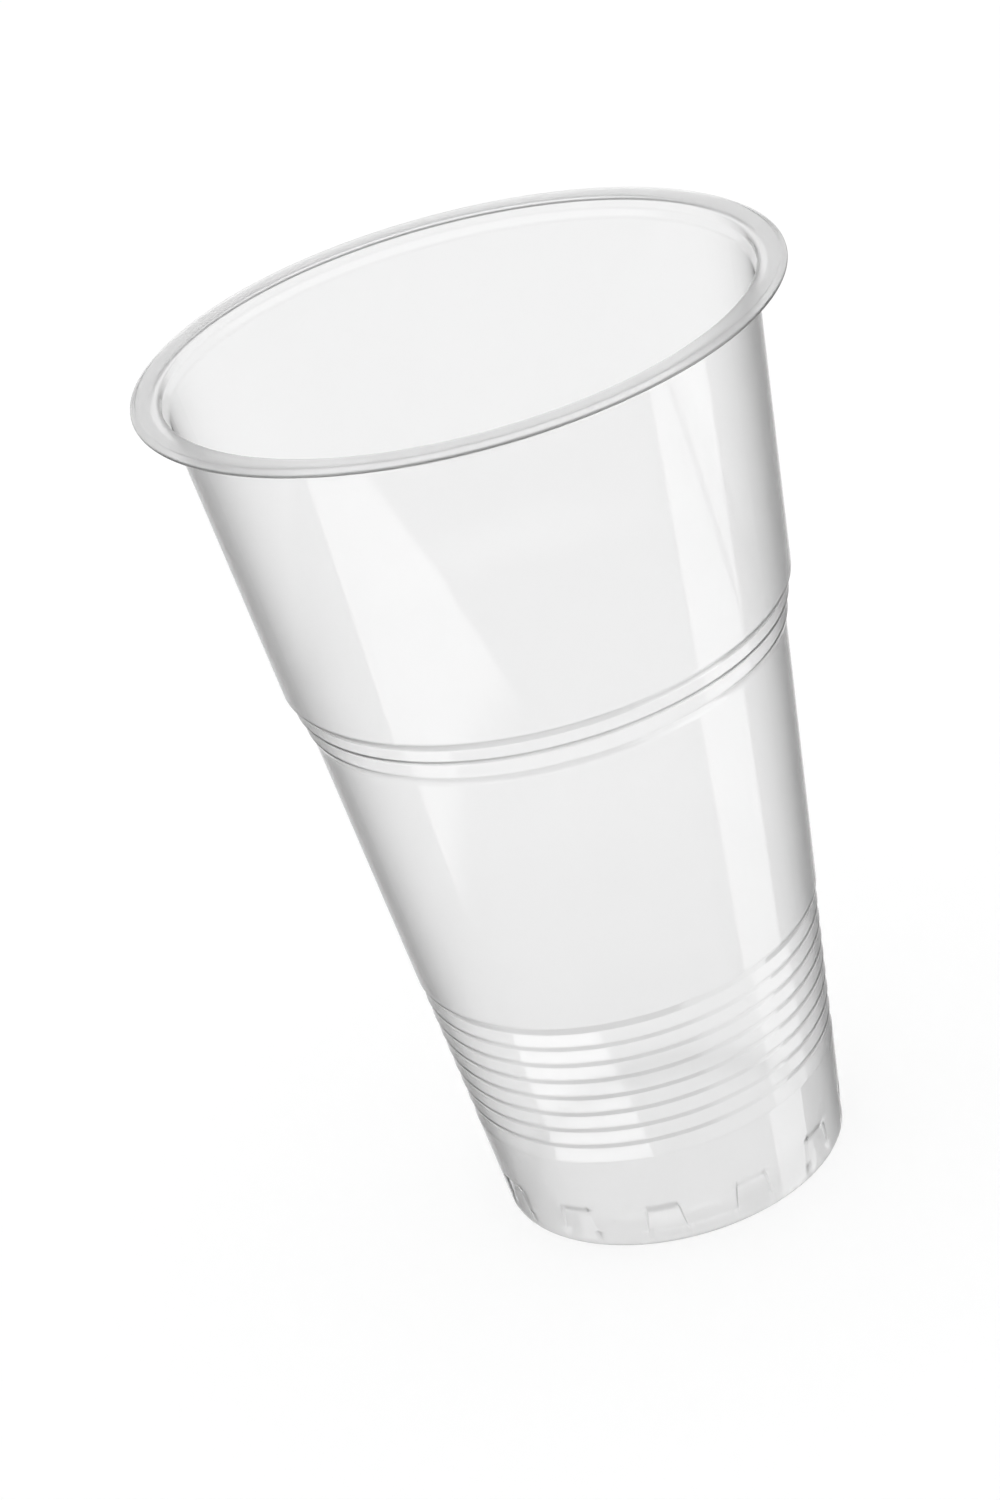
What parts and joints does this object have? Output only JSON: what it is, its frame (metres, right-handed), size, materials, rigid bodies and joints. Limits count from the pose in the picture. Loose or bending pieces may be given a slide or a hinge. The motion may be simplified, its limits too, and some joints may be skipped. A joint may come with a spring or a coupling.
{
  "type": "plastic tumbler cup",
  "caption": "Tall tapered drinking cup of thin clear plastic with a rolled rim, a ring group, grip ribs and a notched foot.",
  "frame": {"origin": "middle of the foot ring, on the surface that the cup stands on", "axes": "+Z along the cup's axis, towards the rim; +X through the middle of one stacking notch"},
  "size_m": [0.095, 0.095, 0.1405],
  "materials": {
    "clear_plastic": "clear and slightly milky, glossy"
  },
  "bodies": {
    "root": {"cup": "clear_plastic"}
  },
  "joints": []
}
